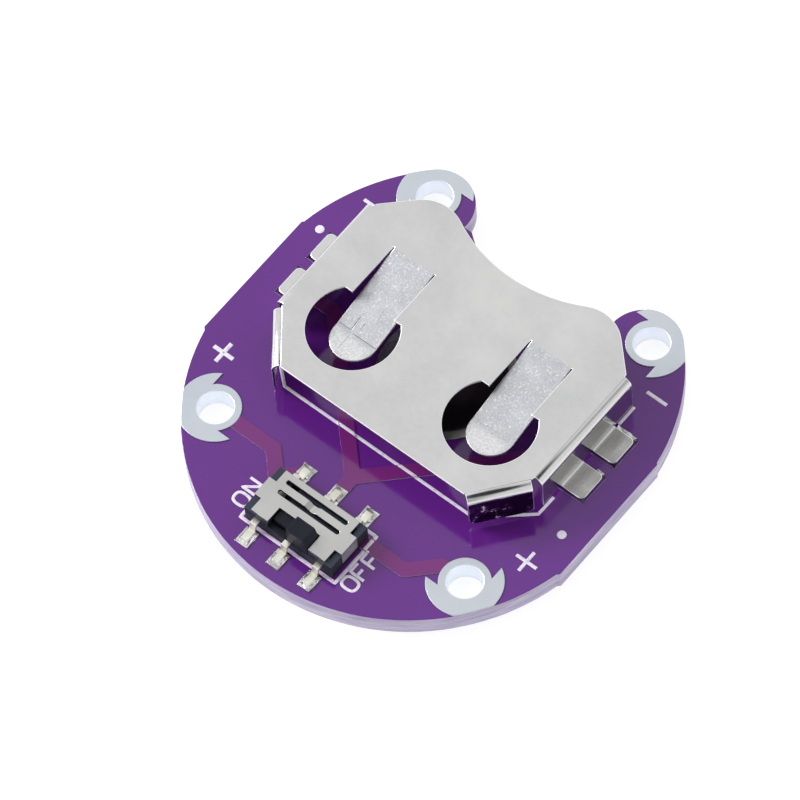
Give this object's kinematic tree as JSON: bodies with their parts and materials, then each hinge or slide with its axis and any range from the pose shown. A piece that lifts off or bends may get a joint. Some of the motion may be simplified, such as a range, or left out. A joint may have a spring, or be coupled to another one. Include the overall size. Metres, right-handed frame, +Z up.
{
  "type": "sewable coin cell holder with slide switch",
  "caption": "Round sewable board with plated eyelets, a sprung sheet-metal clip that holds a coin cell, and a small slide switch.",
  "frame": {"origin": "middle of the board's bounding box on its underside", "axes": "+Z up out of the board's component side, +X along the switch towards its off end, +Y towards the open side of the clip, where the cell slides in"},
  "size_m": [0.0292, 0.03, 0.005],
  "materials": {
    "solder_mask": "glossy purple solder mask on glass-fibre board",
    "masked_copper": "purple solder mask over copper",
    "tinned_copper": "tin-plated copper, satin",
    "spring_steel": "nickel-plated spring sheet, satin with bright folds",
    "solder": "bright lumpy solder",
    "terminal": "tin-plated brass",
    "switch_cover": "satin nickel-plated sheet",
    "black_nylon": "moulded, slightly satin",
    "contact_spring": "bright spring alloy",
    "board_print": "white printed legend"
  },
  "bodies": {
    "board_assembly": {"board": "solder_mask", "sew_eyelet_1": "tinned_copper", "sew_eyelet_2": "tinned_copper", "sew_eyelet_3": "tinned_copper", "sew_eyelet_4": "tinned_copper", "cell_pad": "tinned_copper", "track_plus_left": "masked_copper", "track_plus_right": "masked_copper", "track_common": "masked_copper", "clip_land_1": "tinned_copper", "clip_land_2": "tinned_copper", "clip_land_3": "tinned_copper", "clip_land_4": "tinned_copper", "cell_clip": "spring_steel", "clip_solder_1": "solder", "clip_solder_2": "solder", "clip_solder_3": "solder", "clip_solder_4": "solder", "leg_land_1": "tinned_copper", "leg_land_2": "tinned_copper", "leg_land_3": "tinned_copper", "leg_land_4": "tinned_copper", "leg_land_5": "tinned_copper", "leg_land_6": "tinned_copper", "switch_leg_1": "terminal", "switch_leg_2": "terminal", "switch_leg_3": "terminal", "switch_leg_4": "terminal", "switch_leg_5": "terminal", "switch_leg_6": "terminal", "leg_solder_1": "solder", "leg_solder_2": "solder", "leg_solder_3": "solder", "leg_solder_4": "solder", "leg_solder_5": "solder", "leg_solder_6": "solder", "switch_base": "black_nylon", "switch_cover": "switch_cover"},
    "slider": {"switch_slider": "black_nylon", "slider_contact_front": "contact_spring", "slider_contact_rear": "contact_spring"}
  },
  "joints": [
    {"name": "slider_travel", "type": "slide", "parent": "board_assembly", "child": "slider", "axis": [1, 0, 0], "range_m": [-0.0015, 0]}
  ]
}
